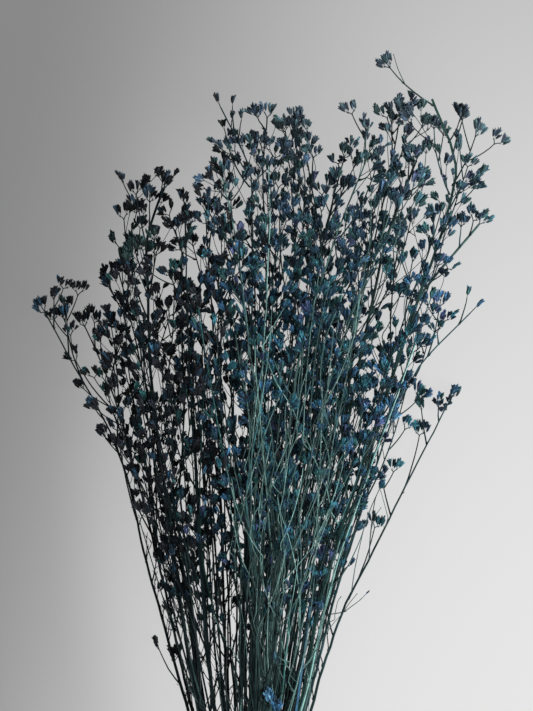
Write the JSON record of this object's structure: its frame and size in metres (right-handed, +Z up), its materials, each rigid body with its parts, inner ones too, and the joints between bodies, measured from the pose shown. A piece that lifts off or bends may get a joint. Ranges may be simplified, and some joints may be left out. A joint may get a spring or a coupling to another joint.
{
  "type": "bunch of preserved statice",
  "caption": "Tied bunch of dyed, preserved statice laid on its side: thin branched stems fan out from turns of twine to small papery navy and teal florets.",
  "frame": {"origin": "on the surface that the bunch lies on, at the middle of the lowest face of the twine", "axes": "+Y along the bunch from the cut stem ends to the flower heads, +X across the fan of heads, +Z up from the surface"},
  "size_m": [0.2413, 0.5141, 0.1083],
  "materials": {
    "navy_spray": "matte, dyed, dry and fibrous",
    "teal_spray": "matte, dyed, dry and fibrous",
    "twine": "matte, twisted plant fibre"
  },
  "bodies": {
    "root": {"stem_left_low": "navy_spray", "stem_middle_low": "teal_spray", "stem_right_low": "teal_spray", "stem_left_side": "navy_spray", "stem_left_inner": "navy_spray", "stem_right_inner": "teal_spray", "stem_right_reach": "teal_spray", "stem_left_reach": "navy_spray", "stem_left_tall": "navy_spray", "stem_middle": "teal_spray", "stem_right_high": "teal_spray", "stem_right_wide": "teal_spray", "stem_left_upper": "navy_spray", "stem_left_spire": "navy_spray", "stem_middle_spire": "teal_spray", "stem_right_upper": "teal_spray", "stem_front_left": "navy_spray", "stem_front_middle": "teal_spray", "stem_front_right": "teal_spray", "twine_tie": "twine"}
  },
  "joints": []
}
